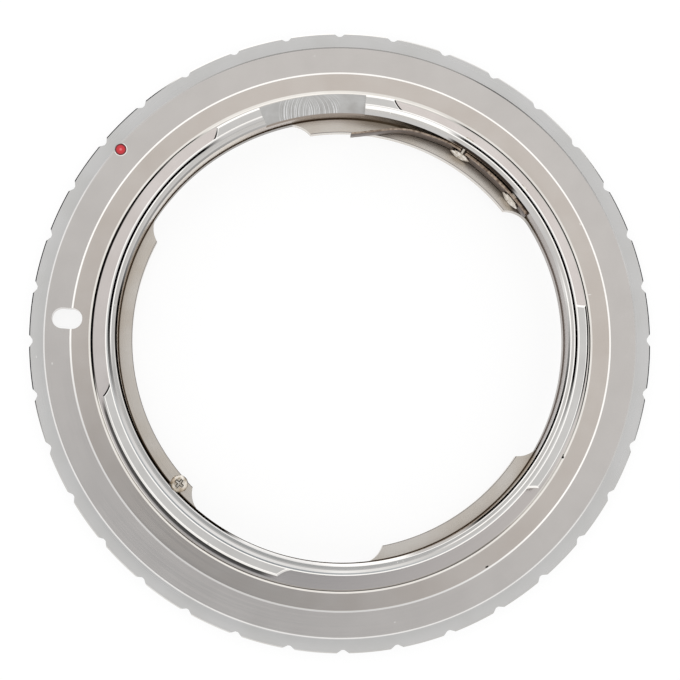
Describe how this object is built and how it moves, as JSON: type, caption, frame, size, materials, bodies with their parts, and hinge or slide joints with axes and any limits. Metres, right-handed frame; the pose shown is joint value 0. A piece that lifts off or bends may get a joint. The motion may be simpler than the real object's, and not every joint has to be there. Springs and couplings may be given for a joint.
{
  "type": "lens mount adapter",
  "caption": "Thin metal ring with a male camera bayonet on one side, a female lens bayonet in its bore, a spring leaf, a stop screw, a lock-pin slot and an index dot.",
  "frame": {"origin": "on the optical axis, in the plane of the lens seat, which is the underside that the part rests on", "axes": "+Z along the optical axis towards the camera side, +X to the right and +Y up as the picture shows the ring"},
  "size_m": [0.0684, 0.0684, 0.0066],
  "materials": {
    "plated_ring": "satin nickel-chrome plating on turned and milled brass",
    "spring_bronze": "dull brown spring strip with sheared edges",
    "plated_screws": "nickel-plated steel",
    "red_enamel": "gloss red enamel"
  },
  "bodies": {
    "adapter": {"body_ring": "plated_ring", "keeper_strip": "spring_bronze", "strip_screws": "plated_screws", "stop_screw": "plated_screws", "index_dot": "red_enamel"},
    "leaf": {"leaf_spring": "spring_bronze"}
  },
  "joints": [
    {"name": "leaf_flex", "type": "hinge", "parent": "adapter", "child": "leaf", "pos_m": [0.01162, 0.0214, 0.00445], "axis": [0, 0, -1], "range_deg": [0, 4], "stiffness_Nm_per_rad": 0.05}
  ]
}
